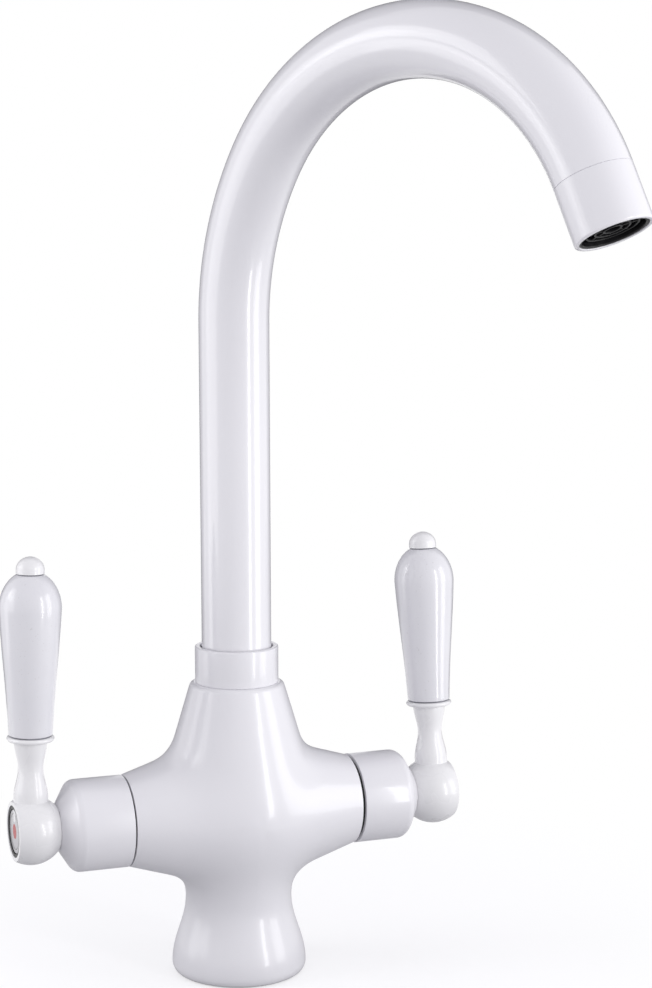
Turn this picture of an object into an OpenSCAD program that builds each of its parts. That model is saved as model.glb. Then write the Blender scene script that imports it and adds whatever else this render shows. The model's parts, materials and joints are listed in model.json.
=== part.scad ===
// Twin-lever kitchen mixer tap for one hole in a sink top. A cross-shaped cast body carries a
// swivelling swan-neck spout in its neck and a quarter-turn ceramic-disc valve in each arm.
// Each valve is worked by a turned lever with a ceramic grip.
// The origin is the middle of the foot's underside, on the sink top. +Z is up, the arms lie along X
// with the hot side at -X, and -Y is the user's side. All sizes are in millimetres.

/* [Body casting] */
// Height of the arms' centre line above the sink top
arm_height = 66.6; // [63:0.3:72]
// Height of the neck's lip above the sink top
neck_height = 119.8; // [115:0.3:125]
// Wall of the neck round the collar's thread, at the lip
neck_wall = 2.8; // [2.6:0.05:4]
// Widening of the neck for each millimetre down from the lip
neck_taper = 0.3; // [0.25:0.01:0.34]
// Depth over which the neck's taper stays straight
neck_straight = 24; // [18:1:30]
// Distance from the middle to the face of each arm
arm_reach = 47.7; // [45:0.3:54]
// Radius of each arm at its face, and of the valve cover on it
arm_r = 18.35; // [17.3:0.05:19.8]
// Widening of an arm for each millimetre in from its face
arm_taper = 0.306; // [0.25:0.002:0.34]
// Length over which an arm's taper stays straight
arm_straight = 20; // [14:1:26]
// Radius of the waist between the arms and the foot
waist_r = 21.6; // [20.5:0.1:23.5]
// Height of the waist above the sink top
waist_height = 30.5; // [27:0.5:33]
// Largest radius of the foot
foot_r = 27.5; // [26.5:0.1:30]
// Height of the foot's rounded edge
foot_edge_height = 4; // [3:0.25:6]
// How far the foot's rounded edge draws in at the sink top
foot_edge_inset = 2.8; // [2:0.1:3.5]
// Rounding of the neck's lip
lip_round = 1.5; // [0.8:0.1:1.8]
// Reach of the smooth blends between the neck, the arms and the waist
blend_reach = 6.5; // [4:0.5:9]

/* [Holes in the foot] */
// Wall radius of each threaded supply hole, for a hose tail
inlet_r = 5; // [4.5:0.1:5.5]
// Depth of each threaded supply hole
inlet_depth = 14; // [10:1:18]
// Distance of each supply hole from the middle, to the side
inlet_x = 8.5; // [8.2:0.1:9.5]
// Distance of both supply holes behind the middle
inlet_y = 3.5; // [3:0.1:4.5]
// Wall radius of the threaded hole for the fixing stud
stud_r = 4; // [3:0.1:4.5]
// Depth of the fixing stud's hole
stud_depth = 22; // [16:1:26]
// Distance of the fixing stud in front of the middle
stud_y = 11.5; // [10.5:0.1:12]
// Outer radius of the base seal and its groove
base_seal_r = 22; // [21:0.1:23]
// Width of the base seal
base_seal_w = 3; // [2:0.1:3.5]
// Depth of the base seal's groove
base_seal_t = 2.4; // [1.6:0.1:3]

/* [Waterways] */
// Radius of each rising passage from a supply hole
rise_r = 3.4; // [3:0.1:3.8]
// Radius of the hole from each rising passage to its valve
seat_hole_r = 5; // [4.5:0.1:5.4]
// Radius of each passage from a valve to the spout
outlet_r = 3; // [2.4:0.1:3.4]
// Wall between the hot and the cold side in the middle of the casting
side_wall = 9.8; // [8:0.2:10]

/* [Swivel] */
// Gap between the spout tube and the collar's mouth
collar_gap = 0.7; // [0.5:0.05:1]
// Wall of the collar
collar_wall = 2.1; // [1.9:0.1:2.8]
// Height of the collar above the neck's lip
collar_len = 14.7; // [13:0.1:18]
// Step from the collar down to its thread
thread_step = 0.8; // [0.6:0.05:1]
// Rounding of the collar's rim
collar_round = 0.7; // [0.4:0.1:1]
// Depth of the threaded pocket in the neck
pocket_depth = 12.2; // [11:0.2:14]
// Thickness of the swivel washer
washer_t = 1; // [0.6:0.1:1.6]
// Thickness of the spigot's flange
spigot_flange_t = 2.4; // [2:0.1:3.2]
// Length of the spigot below its flange washer
spigot_len = 21; // [19:0.5:24]
// Wall of the spigot
spigot_wall = 2.4; // [2:0.1:3]
// Length of the spigot inside the tube
spigot_plug_len = 12; // [8:0.5:16]
// Radius of a spigot O-ring's section
oring_r = 0.9; // [0.7:0.05:1]
// Room below the spigot where the waters meet
mix_room = 4; // [2:0.5:6]

/* [Spout] */
// Outer radius of the spout tube
tube_r = 14; // [13:0.1:15.5]
// Wall of the spout tube
tube_wall = 1.5; // [1.2:0.1:2]
// Height at which the tube starts to sweep over
sweep_height = 264; // [235:1:290]
// Radius of the first, gentle sweep's middle line
sweep_r = 118; // [100:1:140]
// Angle through which the gentle sweep turns
sweep_angle = 32.5; // [20:0.5:45]
// Radius of the main bend's middle line
bend_r = 87.5; // [78:0.5:100]
// Angle from the riser to the nozzle, sweep and bend together
bend_angle = 155; // [145:0.2:162]
// How far the gentle sweep's forming draws the tube's wall in
sweep_draw = 0.1; // [0.08:0.01:0.15]
// Angle of the resting spout from the front, towards the cold side
spout_rest_angle = 26.1; // [0:0.1:45]

/* [Nozzle] */
// Length of the nozzle
nozzle_len = 21.2; // [20:0.1:26]
// Length of the nozzle's plug inside the tube
nozzle_plug_len = 8; // [5:0.5:12]
// Wall of the nozzle at its lip
nozzle_wall = 1.6; // [1.5:0.1:2.2]
// Rounding of the nozzle's lip
nozzle_round = 0.8; // [0.6:0.1:1.2]
// Chamfer on each side of the fine seam above the nozzle
seam_chamfer = 0.25; // [0.15:0.05:0.4]
// Depth of the aerator's pocket
aerator_depth = 15; // [13:0.5:17]
// How far the aerator sits inside the lip
aerator_recess = 1.6; // [1:0.1:2.2]
// Thickness of the aerator's rubber seal
aerator_seal_t = 1.6; // [1:0.1:2.2]
// Thickness of the aerator's screen
aerator_screen_t = 0.8; // [0.5:0.1:1.2]
// Radius of the screen's holes
screen_hole_r = 0.8; // [0.5:0.1:0.9]
// Number of rings of holes in the screen
screen_rings = 3; // [2:1:3]
// Wall of the aerator cage
cage_wall = 1.5; // [1.2:0.1:1.8]
// Thickness of the cage's grid
cage_grid_t = 2; // [1.5:0.1:3]
// Width of each ring of the cage's grid
cage_ring_w = 0.8; // [0.6:0.1:1]
// Number of rings in the cage's grid
cage_rings = 3; // [2:1:3]
// Number of spokes in the cage's grid
cage_spokes = 8; // [6:1:10]

/* [Valves] */
// Width of the black ring between the hot arm and its valve cover
hot_cover_gap = 0.7; // [0.5:0.1:2]
// Width of the black ring between the cold arm and its valve cover
cold_cover_gap = 1.5; // [0.5:0.1:2]
// How far the black ring sits below the arm's surface
ring_recess = 1.5; // [0.8:0.1:1.7]
// Distance from an arm's face to the shoulder of its valve cover
cover_len = 22.2; // [19:0.2:26]
// Length of a valve cover's shoulder
shoulder_len = 6; // [5:0.1:7]
// Rounding where the cover's cylinder meets its shoulder
cover_round = 2.5; // [1.5:0.1:3.5]
// Wall of a valve cover
cover_wall = 2.2; // [1.8:0.1:2.8]
// Thickness of a valve cover's threaded end
cover_end_t = 8; // [7:0.5:9]
// Radius of the valve body's thread in the arm
valve_r = 10.3; // [10:0.1:10.8]
// Depth of a valve socket below the arm's face
socket_depth = 21.7; // [20:0.1:23]
// Thickness of the valve's rubber seat seal
seat_seal_t = 2; // [1.5:0.1:2.5]
// Thickness of the valve body's shoulder on the arm's face
valve_shoulder_t = 2; // [1.5:0.1:3]
// Distance from the middle of the valve body's hexagon to a corner
hex_r = 12.4; // [12:0.1:13]
// Length of the valve body's hexagon
hex_len = 6; // [5:0.5:8]
// Radius of the valve body's neck, which the cover screws on
valve_neck_r = 7.5; // [7:0.1:8]
// Radius of the ceramic discs
disc_r = 8.3; // [8:0.05:8.5]
// Thickness of each ceramic disc
disc_t = 3; // [2.5:0.1:3.5]
// Radius of each of the two ports through a ceramic disc
port_r = 2.3; // [1.8:0.1:2.5]
// Distance of each port from the disc's middle
port_place_r = 3.8; // [3.4:0.1:4.2]
// Thickness of the spindle's foot
spindle_foot_t = 3; // [2.5:0.1:3.5]
// Radius of the spindle
spindle_r = 4; // [3.7:0.1:4.3]
// Thickness of the circlip on the spindle
circlip_t = 0.8; // [0.6:0.1:1]

/* [Lever hubs] */
// Lean of the resting hot lever towards the user, in degrees
hot_lean = 0; // [-5:0.5:5]
// Lean of the resting cold lever towards the user, in degrees
cold_lean = -3.5; // [-5:0.5:5]
// Tilt of each lever's stem towards the spout, in degrees
stem_tilt = 1.1; // [0:0.1:1.5]
// Radius of a lever's ball hub
ball_r = 13.7; // [13.2:0.1:14.2]
// Distance from the hub's inner face to the ball's centre
ball_inset = 10.1; // [9.8:0.1:10.6]
// Distance from the ball's centre to its outer face
face_offset = 7; // [6.6:0.1:7.4]
// Radius of the stem where it leaves the ball
stem_bottom_r = 6.8; // [6.4:0.05:7.2]
// Radius of the stem's waist
stem_waist_r = 5; // [4.6:0.1:5.4]
// Height of the stem's waist above the ball's centre
stem_waist_height = 25; // [23:0.5:27]
// Radius of the stem under its flange
stem_top_r = 6.6; // [6.2:0.1:7]
// Height of the flange's underside above the ball's centre
stem_height = 36.1; // [34:0.3:38.5]
// Radius of the flange under the grip
flange_r = 9.4; // [9.1:0.1:10]
// Thickness of the flange under the grip
flange_t = 1.9; // [1.6:0.1:2.4]

/* [Lever grips] */
// Radius of the grip at its bottom
grip_bottom_r = 8.7; // [8.2:0.05:9]
// Largest radius of the grip
grip_r = 12.3; // [11.3:0.1:13]
// Height of the grip's widest place above its bottom
grip_swell_height = 50; // [44:0.5:55]
// Share of the grip's swell that comes evenly, before the rest gathers towards the top
grip_even = 0.35; // [0.25:0.05:0.5]
// Height that the grip's dome would have if nothing cut it off
grip_dome = 15; // [13:0.2:18]
// Thickness of the washers above and below the grip
grip_washer_t = 0.5; // [0.4:0.1:0.8]
// Radius of the finial
finial_r = 5.6; // [5.2:0.05:6]
// Height of the finial
finial_len = 6.5; // [6:0.25:8]
// Height of the finial's straight side
finial_side = 1.4; // [1:0.1:2]
// Length of the tie rod's end inside the finial
rod_end_len = 3.5; // [3:0.1:4]
// Radius of the tie rod through the grip
rod_r = 3; // [2.5:0.1:3.1]

/* [Index discs] */
// Width of the hub's rim round the index disc
rim_w = 1.5; // [1.2:0.1:1.8]
// Depth of the pocket for the index disc
index_depth = 2.4; // [2:0.1:3]
// Width of the black ring round the index disc
index_ring_w = 1; // [0.7:0.05:1.3]
// How far the index disc sits below the rim
index_recess = 0.5; // [0.3:0.1:1]
// Radius of the lever screw's head
screw_head_r = 3.6; // [3.2:0.1:4]
// Thickness of the lever screw's head
screw_head_t = 2; // [1.6:0.1:2.4]
// Metal left below the hexagon socket in the lever screw's head
screw_floor_t = 0.7; // [0.5:0.1:0.9]
// Radius of the lever screw's shank
screw_r = 2; // [1.7:0.1:2.2]
// Thickness of the hub's web under the lever screw's head
web_t = 2.6; // [2:0.1:3]

/* [Fits] */
// Radial gap between a shaft and its hole, and between threads
fit_gap = 0.05; // [0.03:0.01:0.08]
// Gap between each valve cover and its turning lever hub
hub_gap = 0.3; // [0.2:0.05:0.6]

/* [Hidden] */
$fn = 96;

// Sides of the screen's fine holes, and steps in a rounded corner of an outline
small_hole_sides = 16;
round_steps = 8;

// How far a cutting shape runs past the face that it cuts
over = 1;
hot = -1;
cold = 1;

// Colours of the finishes
gloss_white = [0.93, 0.93, 0.95];
ceramic_white = [0.88, 0.88, 0.92];
brass_colour = [0.80, 0.65, 0.35];
steel_colour = [0.72, 0.73, 0.75];
silver_colour = [0.78, 0.78, 0.80];
black_colour = [0.08, 0.08, 0.09];
rubber_colour = [0.13, 0.13, 0.14];
nylon_colour = [0.90, 0.88, 0.80];
disc_colour = [0.95, 0.94, 0.90];

// Sizes of the swivel, from the tube outwards and from the pocket's ledge upwards
tube_bore_r = tube_r - tube_wall;
collar_r = tube_r + collar_gap + collar_wall;
collar_thread_r = collar_r - thread_step;
pocket_r = collar_thread_r + fit_gap;
neck_r = pocket_r + neck_wall;
spigot_r = tube_bore_r - fit_gap;
spout_bore_r = spigot_r + fit_gap;
ledge_z = neck_height - pocket_depth;
flange_z = ledge_z + washer_t + fit_gap;
tube_z = flange_z + spigot_flange_t;
sleeve_z = tube_z + fit_gap;
spigot_flange_r = pocket_r - collar_gap;
spigot_bottom_z = ledge_z - spigot_len;
mix_z = spigot_bottom_z - mix_room;
collar_top_z = neck_height + collar_len;
spigot_bore_r = spigot_r - spigot_wall;

// Places along an arm, measured from the middle
socket_u = arm_reach - socket_depth;
valve_u = socket_u + seat_seal_t;
turning_u = valve_u + disc_t + fit_gap;
foot_u = turning_u + disc_t;
disc_room_u = foot_u + spindle_foot_t + fit_gap;
hex_u = arm_reach + valve_shoulder_t;
shoulder_u = arm_reach + cover_len;
cover_end_u = shoulder_u + shoulder_len;
hub_u = cover_end_u + hub_gap;
valve_end_u = cover_end_u - circlip_t - 2 * hub_gap;
neck_u = hex_u + hex_len;
ball_u = hub_u + ball_inset;
face_u = ball_u + face_offset;
index_u = face_u - index_depth;
head_u = index_u - screw_head_t - hub_gap;
web_u = head_u - web_t;
spindle_end_u = web_u - hub_gap;
hub_seat_r = sqrt(ball_r * ball_r - ball_inset * ball_inset);
index_pocket_r = sqrt(ball_r * ball_r - face_offset * face_offset) - rim_w;
cover_hole_r = valve_neck_r + fit_gap;

// Width of the black ring on either side
function cover_gap(side) = side == hot ? hot_cover_gap : cold_cover_gap;

// Heights on a lever, measured from the ball's centre
grip_v = stem_height + flange_t + grip_washer_t;
grip_top_v = grip_v + grip_swell_height + grip_dome * sqrt(1 - pow(finial_r / grip_r, 2));
finial_v = grip_top_v + grip_washer_t;
rod_v = stem_waist_height + over;

// Rounds a corner of an outline: points on a circle from angle a to angle b
function arc_points(centre, r, a, b, steps) = [
    for (i = [0 : steps])
        centre + r * [cos(a + (b - a) * i / steps), sin(a + (b - a) * i / steps)]
];

// Eases smoothly from 0 to 1
function ease(s) = (1 - cos(180 * s)) / 2;

// Grows one for one, then levels off so that it is flat at the total
function settle(t, straight, total) =
    t - pow(max(0, t - straight), 2) / (2 * (total - straight));

// How far a rounded edge of the given size draws in at height h of its rounding
function edge_draw(h, size) = size - sqrt(max(0, size * size - h * h));

// Radius of the upright part of the casting at height z
neck_drop = neck_height - arm_height;
middle_r = neck_r + neck_taper * settle(neck_drop, neck_straight, neck_drop);
function upright_r(z) =
    z >= arm_height
    ? neck_r + neck_taper * settle(max(0, neck_height - z), neck_straight, neck_drop)
        - edge_draw(min(lip_round, max(0, z - neck_height + lip_round)), lip_round)
    : z >= waist_height
    ? waist_r + (middle_r - waist_r) * ease((z - waist_height) / (arm_height - waist_height))
    : z >= foot_edge_height
    ? foot_r + (waist_r - foot_r) * ease((z - foot_edge_height) / (waist_height - foot_edge_height))
    : foot_r - foot_edge_inset
        * (1 - sqrt(max(0, 1 - pow((foot_edge_height - max(0, z)) / foot_edge_height, 2))));

// Radius of an arm at a distance x from the middle
function branch_r(x) =
    arm_r + arm_taper * settle(max(0, arm_reach - abs(x)), arm_straight, arm_reach);

// Joins two distances as if a soft fillet ran along their meeting line
function soft_min(a, b) = min(a, b) - pow(max(blend_reach - abs(a - b), 0), 2) / (4 * blend_reach);

// Distance of a point from the casting's skin, negative inside, measured from the arms' middle
function skin_gap(p) =
    soft_min(norm([p.x, p.y]) - upright_r(p.z + arm_height), norm([p.y, p.z]) - branch_r(p.x));

// Distance along a ray from inside the casting to its skin, by halving
halvings = 18;
far_out = 3 * foot_r;
function skin_ray(p, d, near, far, n) =
    n == 0
    ? (near + far) / 2
    : skin_gap(p + d * (near + far) / 2) < 0
    ? skin_ray(p, d, (near + far) / 2, far, n - 1)
    : skin_ray(p, d, near, (near + far) / 2, n - 1);

// The skin is made of four limbs that meet on the diagonals between them: cold arm, neck, hot arm
// and foot. Each limb is a stack of rings that start as the diagonals and end as a flat circle.
limb_axes = [[1, 0, 0], [0, 0, 1], [-1, 0, 0], [0, 0, -1]];
limb_ends = [arm_reach, neck_drop - lip_round, arm_reach, arm_height - waist_height];
limb_steps = [8, 8, 8, 5];
ring_points = 48;
quarter = ring_points / 4;
back = [0, 1, 0];

// Heights of the plain rings past the blended ones, as distances along the limb
edge_steps = 4;
foot_steps = 6;
neck_extra = [for (i = [1 : edge_steps]) neck_drop - lip_round * (1 - sin(90 * i / edge_steps))];
foot_extra = concat(
    [for (i = [1 : foot_steps])
        arm_height - waist_height + (waist_height - foot_edge_height) * i / foot_steps],
    [for (i = [1 : edge_steps])
        arm_height - foot_edge_height * (1 - sin(90 * i / edge_steps))]
);
limb_extra = [[], neck_extra, [], foot_extra];

function limb_side(i) = limb_axes[(i + 1) % 4];

// Start of each limb: the crossing curves, on which two limbs share their points
function crossing_point(i, b) =
    let (d = cos(b) * (limb_axes[i] + limb_side(i)) / sqrt(2) + sin(b) * back)
    d * skin_ray([0, 0, 0], d, 0, far_out, halvings);

function ring_angle(j) = 360 * j / ring_points;

function limb_start(i, j) =
    let (a = ring_angle(j))
    cos(a) >= 0
    ? crossing_point(i, a)
    : crossing_point((i + 3) % 4, 180 - a);

function plain_turn(a) = (a + 360) % 360;

// A point of a limb's ring, a share s of the way from the crossing curves to the limb's end
function limb_point(i, j, s) =
    let (
        a = ring_angle(j),
        start = limb_start(i, j),
        start_u = start * limb_axes[i],
        start_a = plain_turn(atan2(start.y, start * limb_side(i))),
        u = start_u + s * (limb_ends[i] - start_u),
        turn = start_a + s * (a - start_a),
        d = cos(turn) * limb_side(i) + sin(turn) * back,
        p = u * limb_axes[i]
    )
    p + d * skin_ray(p, d, 0, far_out, halvings);

function plain_point(i, j, u) =
    let (
        a = ring_angle(j),
        d = cos(a) * limb_side(i) + sin(a) * back,
        p = u * limb_axes[i]
    )
    p + d * skin_ray(p, d, 0, far_out, halvings);

// All points of the skin: two poles, four crossing curves, then each limb's rings
crossing_count = ring_points / 2 - 1;
crossing_points = [
    for (i = [0 : 3])
        for (t = [1 : crossing_count])
            crossing_point(i, 90 - ring_angle(t))
];
limb_rings = [for (i = [0 : 3]) limb_steps[i] + len(limb_extra[i])];
ring_coordinates = [
    for (i = [0 : 3])
        for (k = [1 : limb_rings[i]])
            for (j = [0 : ring_points - 1])
                k <= limb_steps[i]
                ? limb_point(i, j, k / limb_steps[i])
                : plain_point(i, j, limb_extra[i][k - limb_steps[i] - 1])
];
skin_points = concat(
    [crossing_point(0, 90), crossing_point(0, -90)],
    crossing_points,
    ring_coordinates
);

// Numbers of those points
rings_before = [
    0,
    limb_rings[0],
    limb_rings[0] + limb_rings[1],
    limb_rings[0] + limb_rings[1] + limb_rings[2]
];
function crossing_index(i, t) = 2 + i * crossing_count + t - 1;
function start_index(i, j) =
    j == quarter
    ? 0
    : j == 3 * quarter
    ? 1
    : j < quarter
    ? crossing_index(i, quarter - j)
    : j > 3 * quarter
    ? crossing_index(i, 5 * quarter - j)
    : crossing_index((i + 3) % 4, j - quarter);
function ring_index(i, k, j) =
    k == 0
    ? start_index(i, j % ring_points)
    : 2 + 4 * crossing_count + (rings_before[i] + k - 1) * ring_points + j % ring_points;

skin_faces = concat(
    [
        for (i = [0 : 3])
            for (k = [0 : limb_rings[i] - 1])
                for (j = [0 : ring_points - 1])
                    each [
                        [ring_index(i, k, j), ring_index(i, k, j + 1), ring_index(i, k + 1, j + 1)],
                        [ring_index(i, k, j), ring_index(i, k + 1, j + 1), ring_index(i, k + 1, j)]
                    ]
    ],
    [for (i = [0 : 3]) [for (j = [0 : ring_points - 1]) ring_index(i, limb_rings[i], j)]]
);

// Stands things on an arm: their own +Z points outwards from the middle
module on_arm(side) {
    translate([0, 0, arm_height])
        rotate([0, side * 90, 0])
            children();
}

// A ring with a rectangular section
module ring(r_out, r_in, h) {
    difference() {
        cylinder(r = r_out, h = h);
        translate([0, 0, -over])
            cylinder(r = r_in, h = h + 2 * over);
    }
}

// A straight hole between two points
module hole_between(start, end, r) {
    run = end - start;
    translate(start)
        rotate([0, acos(run.z / norm(run)), atan2(run.y, run.x)])
            cylinder(r = r, h = norm(run));
}

module body_casting() {
    color(gloss_white)
    difference() {
        translate([0, 0, arm_height])
            polyhedron(points = skin_points, faces = skin_faces);
        // Pocket for the collar's thread, and the spout's bore with the mixing room below
        translate([0, 0, ledge_z])
            cylinder(r = pocket_r, h = pocket_depth + over);
        translate([0, 0, mix_z])
            cylinder(r = spout_bore_r, h = ledge_z - mix_z + over);
        for (side = [hot, cold]) {
            // Socket and seat of the valve
            on_arm(side)
                translate([0, 0, socket_u])
                    cylinder(r = valve_r + fit_gap, h = socket_depth + over);
            on_arm(side)
                translate([0, 0, side_wall / 2])
                    cylinder(r = seat_hole_r, h = socket_u - side_wall / 2 + over);
            // Supply hole and its rising passage
            translate([side * inlet_x, inlet_y, -over])
                cylinder(r = inlet_r, h = inlet_depth + over);
            translate([side * inlet_x, inlet_y, inlet_depth - over])
                cylinder(r = rise_r, h = arm_height - inlet_depth + over);
            // Passage from the valve up to the mixing room
            hole_between(
                [side * (disc_room_u - spindle_foot_t), 0, arm_height + valve_r - outlet_r],
                [side * (spout_bore_r - outlet_r), 0, mix_z + outlet_r],
                outlet_r
            );
        }
        // Fixing stud's hole
        translate([0, -stud_y, -over])
            cylinder(r = stud_r, h = stud_depth + over);
        // Base seal's groove
        translate([0, 0, -over])
            ring(base_seal_r + fit_gap, base_seal_r - base_seal_w - fit_gap, base_seal_t + over);
    }
}

module base_seal() {
    color(rubber_colour)
        ring(base_seal_r, base_seal_r - base_seal_w, base_seal_t);
}

module spout_collar() {
    rim = arc_points(
        [collar_r - collar_round, collar_top_z - collar_round],
        collar_round, 0, 90, round_steps
    );
    color(gloss_white)
        rotate_extrude()
            polygon(concat(
                [
                    [tube_r + fit_gap, sleeve_z],
                    [collar_thread_r, sleeve_z],
                    [collar_thread_r, neck_height],
                    [collar_r, neck_height]
                ],
                rim,
                [
                    [tube_r + collar_gap, collar_top_z],
                    [tube_r + collar_gap, neck_height],
                    [tube_r + fit_gap, neck_height - collar_gap]
                ]
            ));
}

module swivel_washer() {
    color(nylon_colour)
        translate([0, 0, ledge_z])
            ring(spigot_flange_r, spout_bore_r + fit_gap, washer_t);
}

module spout_spigot() {
    groove_h = 2 * (oring_r + fit_gap);
    color(brass_colour)
    difference() {
        union() {
            translate([0, 0, spigot_bottom_z])
                cylinder(r = spigot_r, h = spigot_len + washer_t + fit_gap);
            translate([0, 0, flange_z])
                cylinder(r = spigot_flange_r, h = spigot_flange_t);
            translate([0, 0, tube_z])
                cylinder(r = spigot_r, h = spigot_plug_len);
        }
        translate([0, 0, spigot_bottom_z - over])
            cylinder(r = spigot_bore_r, h = spigot_len + tube_z + spigot_plug_len);
        for (z = oring_heights)
            translate([0, 0, z - groove_h / 2])
                ring(spigot_r + over, spigot_r - groove_h, groove_h);
    }
}

// The two O-rings share the spigot's length below its flange
oring_heights = [for (share = [1, 2]) spigot_bottom_z + spigot_len * share / 3];

module spigot_o_rings() {
    color(rubber_colour)
        for (z = oring_heights)
            translate([0, 0, z])
                rotate_extrude()
                    translate([spigot_r - oring_r, 0])
                        circle(r = oring_r);
}

// Turns a spout drawn in the XZ plane to its resting angle
module resting_spout() {
    rotate([0, 0, spout_rest_angle - 90])
        children();
}

module spout_tube() {
    color(gloss_white)
        resting_spout()
            difference() {
                spout_run(tube_r, 0, 0);
                spout_run(tube_bore_r, over, bend_lap);
            }
}

// Angle by which each bend reaches back into the stretch before it
bend_lap = 0.2;

// The spout's round run: riser, sweep and main bend, its two ends longer by extra and end_lap
module spout_run(r, extra, end_lap) {
    translate([0, 0, tube_z - extra])
        cylinder(r = r, h = sweep_height - tube_z + extra);
    bend_piece([sweep_r, 0, sweep_height], sweep_r, -bend_lap, sweep_angle, r - sweep_draw);
    bend_piece(bend_middle, bend_r, sweep_angle - bend_lap, bend_angle + end_lap, r);
}

// A round stretch that turns from angle a to angle b, counted from the riser
module bend_piece(middle, middle_r, a, b, r) {
    translate(middle)
        rotate([90, 0, 0])
            rotate([0, 0, 180 - b])
                rotate_extrude(angle = b - a)
                    translate([middle_r, 0])
                        circle(r = r);
}

// Middle of the main bend, so that it carries on from the end of the sweep
bend_middle = [
    sweep_r - (sweep_r - bend_r) * cos(sweep_angle),
    0,
    sweep_height + (sweep_r - bend_r) * sin(sweep_angle)
];

// Stands things at the end of the bend: their own +Z points along the flow
module at_bend_end() {
    translate(bend_middle + bend_r * [-cos(bend_angle), 0, sin(bend_angle)])
        rotate([0, bend_angle, 0])
            children();
}

// Stands things at the seam, in the resting spout
module at_nozzle() {
    resting_spout()
        at_bend_end()
            children();
}

pocket_w = nozzle_len - aerator_depth;
aerator_r = tube_r - nozzle_wall;
plug_bore_r = tube_bore_r - 2 * tube_wall;
plug_r = tube_bore_r - 2 * fit_gap;
// The plug's straight side narrows just enough to clear the outside of the bend
plug_tip_r = sqrt(pow(bend_r + plug_r, 2) - nozzle_plug_len * nozzle_plug_len) - bend_r;

module nozzle() {
    lip = arc_points(
        [tube_r - nozzle_round, nozzle_len - nozzle_round],
        nozzle_round, 0, 90, round_steps
    );
    color(gloss_white)
        at_nozzle()
            rotate_extrude()
                polygon(concat(
                    [
                        [plug_bore_r, -nozzle_plug_len],
                        [plug_tip_r, -nozzle_plug_len],
                        [plug_r, 0],
                        [tube_r - seam_chamfer, 0],
                        [tube_r, seam_chamfer]
                    ],
                    lip,
                    [
                        [aerator_r, nozzle_len],
                        [aerator_r, pocket_w],
                        [plug_bore_r, pocket_w]
                    ]
                ));
}

cage_w = pocket_w + aerator_seal_t + aerator_screen_t;
cage_end_w = nozzle_len - aerator_recess;
cage_r = aerator_r - fit_gap;

module aerator_seal() {
    color(rubber_colour)
        at_nozzle()
            translate([0, 0, pocket_w])
                ring(cage_r, cage_r - 2 * cage_wall, aerator_seal_t);
}

module aerator_screen() {
    screen_step = (cage_r - cage_wall) / (screen_rings + 1);
    first_holes = 6;
    color(steel_colour)
        at_nozzle()
            translate([0, 0, pocket_w + aerator_seal_t])
                difference() {
                    cylinder(r = cage_r, h = aerator_screen_t);
                    for (ring_number = [1 : screen_rings])
                        for (i = [0 : first_holes * ring_number - 1])
                            rotate([0, 0, 360 * i / (first_holes * ring_number)])
                                translate([screen_step * ring_number, 0, -over])
                                    cylinder(
                                        r = screen_hole_r,
                                        h = aerator_screen_t + 2 * over,
                                        $fn = small_hole_sides
                                    );
                }
}

module aerator_cage() {
    open_r = cage_r - cage_wall;
    ring_step = open_r / (cage_rings + 1 / 2);
    color(black_colour)
        at_nozzle()
            translate([0, 0, cage_w]) {
                cage_h = cage_end_w - cage_w;
                grid_w = cage_h - cage_grid_t;
                difference() {
                    cylinder(r = cage_r, h = cage_h);
                    translate([0, 0, -over])
                        cylinder(r = open_r, h = grid_w + over);
                    // The gaps between the grid's rings, crossed by its spokes
                    difference() {
                        for (i = [0 : cage_rings])
                            translate([0, 0, grid_w - over])
                                ring(
                                    min(open_r, (i + 1) * ring_step - cage_ring_w / 2),
                                    i == 0 ? cage_ring_w : i * ring_step + cage_ring_w / 2,
                                    cage_grid_t + 2 * over
                                );
                        for (i = [0 : cage_spokes - 1])
                            rotate([0, 0, 360 * i / cage_spokes])
                                translate([0, -cage_ring_w / 2, grid_w - 2 * over])
                                    cube([open_r + over, cage_ring_w, cage_grid_t + 4 * over]);
                    }
                }
            }
}

module cover_ring(side) {
    color(rubber_colour)
        on_arm(side)
            translate([0, 0, arm_reach])
                ring(arm_r - ring_recess, hex_r + ring_recess, cover_gap(side));
}

module valve_cover(side) {
    cover_u = arm_reach + cover_gap(side);
    drop = arm_r - hub_seat_r;
    slope = atan2(drop, shoulder_len);
    corner = arc_points(
        [shoulder_u - cover_round * tan(slope / 2), arm_r - cover_round],
        cover_round, 90, 90 - slope, round_steps
    );
    outline = concat(
        [[cover_u, arm_r - cover_wall], [cover_u, arm_r]],
        corner,
        [
            [cover_end_u, hub_seat_r],
            [cover_end_u, cover_hole_r],
            [cover_end_u - cover_end_t, cover_hole_r],
            [cover_end_u - cover_end_t, arm_r - cover_wall]
        ]
    );
    color(gloss_white)
        on_arm(side)
            rotate_extrude()
                polygon([for (p = outline) [p.y, p.x]]);
}

module valve_body(side) {
    color(brass_colour)
        on_arm(side)
            difference() {
                union() {
                    translate([0, 0, valve_u])
                        cylinder(r = valve_r, h = arm_reach - valve_u);
                    translate([0, 0, arm_reach])
                        cylinder(r = hex_r, h = valve_shoulder_t);
                    translate([0, 0, hex_u])
                        cylinder(r = hex_r, h = hex_len, $fn = 6);
                    translate([0, 0, neck_u])
                        cylinder(r = valve_neck_r, h = valve_end_u - neck_u);
                }
                translate([0, 0, valve_u - over])
                    cylinder(r = disc_r + fit_gap, h = disc_room_u - valve_u + over);
                translate([0, 0, valve_u])
                    cylinder(r = spindle_r + fit_gap, h = valve_end_u - valve_u + over);
                // Side port towards the passage to the spout
                translate([0, 0, foot_u])
                    rotate([0, -side * 90, 0])
                        cylinder(r = outlet_r - fit_gap, h = valve_r + over);
            }
}

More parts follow.
